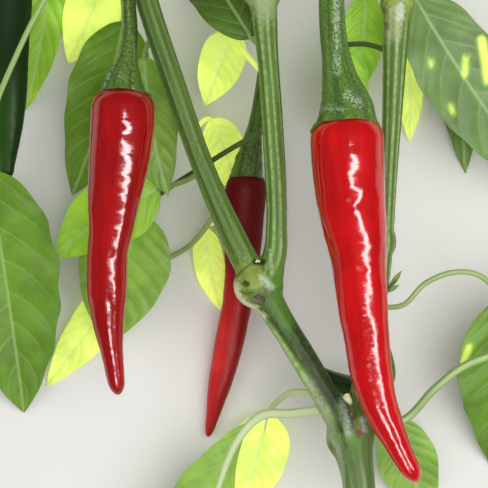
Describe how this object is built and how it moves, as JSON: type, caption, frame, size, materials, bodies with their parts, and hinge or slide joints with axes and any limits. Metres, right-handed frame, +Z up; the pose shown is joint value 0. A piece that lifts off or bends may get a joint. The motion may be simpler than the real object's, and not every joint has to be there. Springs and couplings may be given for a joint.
{
  "type": "fruiting chilli pepper branch",
  "caption": "Cut branch of a chilli pepper plant lying flat: forked green stems, long red fruits and unripe ones on ribbed calyxes, and pointed leaves.",
  "frame": {"origin": "on the level surface that the branch lies on, under the middle of its bounding box", "axes": "+Y from the cut end of the main stem towards the tips, +X to the right as seen from above with +Y away from the viewer, +Z up"},
  "size_m": [0.2, 0.2364, 0.0531],
  "materials": {
    "stem": "green ribbed stem with pale stripes and paler, scarred nodes, satin",
    "leaf_stalk": "pale green leaf stalk, satin",
    "calyx": "ribbed green fruit stalk and calyx with fine pale speckles, satin",
    "ripe_fruit": "deep red waxy skin, smooth with shallow dents and wrinkles, very glossy",
    "unripe_fruit": "dark green waxy skin, very glossy",
    "leaf": "soft green leaf with a paler midrib and side veins, satin",
    "young_leaf": "light yellow-green young leaf, thin, satin"
  },
  "bodies": {
    "root": {"bud_shoot": "young_leaf", "flower_stub": "stem", "green_fruit": "unripe_fruit", "green_fruit_calyx": "calyx", "leaf_behind_calyx": "leaf", "leaf_behind_left_fruit": "leaf", "leaf_behind_upper_stem": "leaf", "leaf_below_left_fruit": "leaf", "leaf_below_left_fruit_stalk": "leaf_stalk", "leaf_bottom": "leaf", "leaf_bottom_stalk": "leaf_stalk", "leaf_bright_left": "leaf", "leaf_by_green_fruit": "leaf", "leaf_far_right": "leaf", "leaf_far_right_stalk": "leaf_stalk", "leaf_left": "leaf", "leaf_left_stalk": "leaf_stalk", "leaf_lower_right": "leaf", "leaf_right": "leaf", "leaf_right_stalk": "leaf_stalk", "leaf_sunlit_centre": "young_leaf", "leaf_sunlit_low": "young_leaf", "leaf_sunlit_low_stalk": "leaf_stalk", "leaf_sunlit_middle": "young_leaf", "leaf_sunlit_right": "young_leaf", "leaf_sunlit_small": "young_leaf", "leaf_sunlit_top": "young_leaf", "leaf_tip_right": "leaf", "leaf_top_centre": "leaf", "leaf_top_right_bright": "young_leaf", "leaf_under_bottom": "young_leaf", "leaf_under_bottom_stalk": "leaf_stalk", "leaf_upper_right": "leaf", "left_fruit": "ripe_fruit", "left_fruit_calyx": "calyx", "lower_left_stem": "stem", "main_stem": "stem", "middle_fruit": "ripe_fruit", "middle_fruit_calyx": "calyx", "middle_stem": "stem", "right_fruit": "ripe_fruit", "right_fruit_calyx": "calyx", "right_stem": "stem", "top_left_branch": "stem", "top_left_shoot": "young_leaf", "top_left_twig": "stem", "top_left_twig_shoot": "young_leaf", "top_middle_branch": "stem", "top_middle_shoot": "young_leaf", "top_middle_twig": "stem", "top_middle_twig_shoot": "young_leaf", "top_right_inner_shoot": "young_leaf", "top_right_inner_twig": "stem", "top_right_outer_shoot": "young_leaf", "top_right_outer_twig": "stem", "upper_left_stem": "stem", "young_fruit": "unripe_fruit", "young_fruit_calyx": "calyx"}
  },
  "joints": []
}
